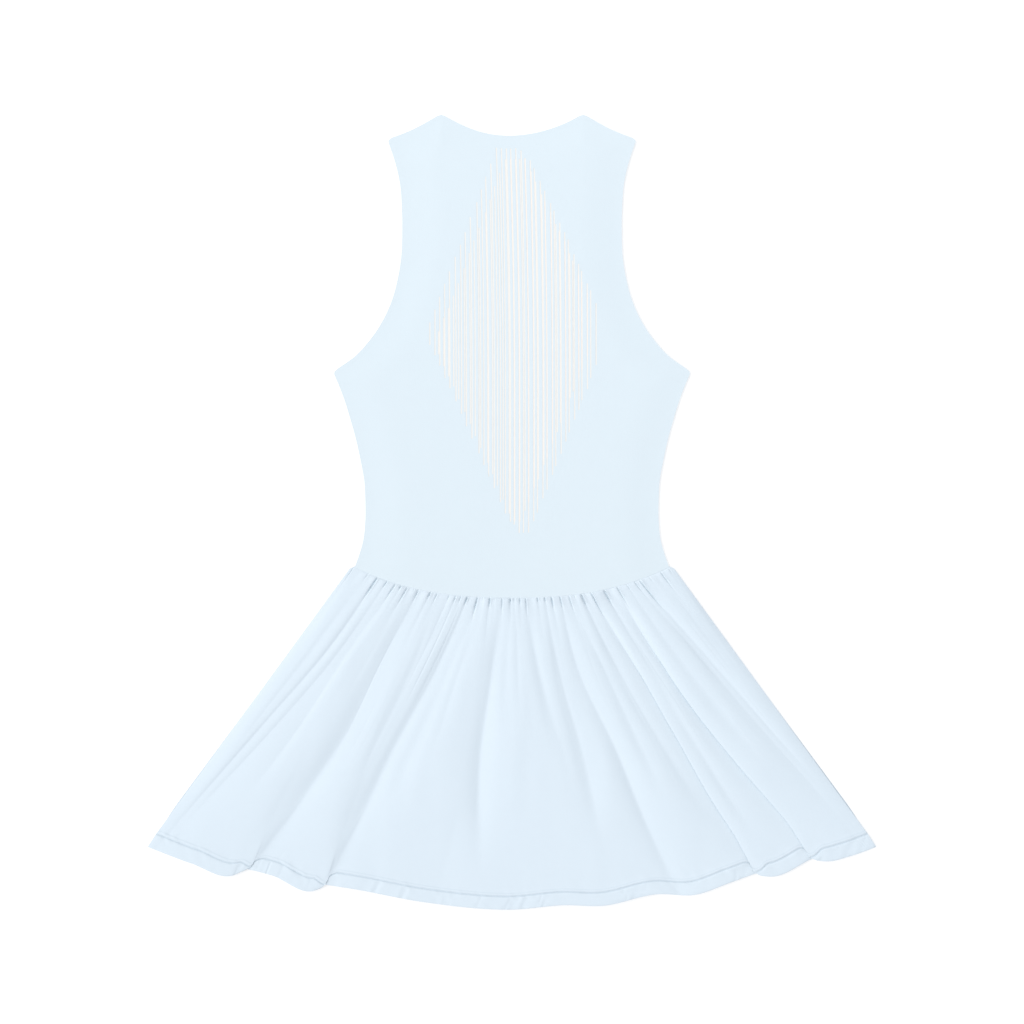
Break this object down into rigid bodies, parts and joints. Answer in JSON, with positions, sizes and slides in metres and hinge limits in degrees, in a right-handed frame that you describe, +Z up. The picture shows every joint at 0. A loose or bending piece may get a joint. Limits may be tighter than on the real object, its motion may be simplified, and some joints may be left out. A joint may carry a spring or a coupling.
{
  "type": "sleeveless dress",
  "caption": "Sleeveless knit dress laid flat, back uppermost, with a fitted slit-inset bodice, dropped curved waist and flared gathered skirt.",
  "frame": {"origin": "centre of the footprint of the laid dress, on the surface that it lies on", "axes": "+X to the right as seen from above with the neck at the top, +Y from the hem to the neck, +Z up out of the surface"},
  "size_m": [0.7936, 0.8666, 0.0079],
  "materials": {
    "bodice_knit": "smooth matt stretch knit, pale baby blue",
    "skirt_knit": "smooth matt stretch knit, pale baby blue, gathered",
    "inset_backing": "matt warm white knit"
  },
  "bodies": {
    "root": {"back_bodice": "bodice_knit", "front_bodice": "bodice_knit", "inset_backing": "inset_backing", "back_skirt": "skirt_knit", "front_skirt": "skirt_knit"}
  },
  "joints": []
}
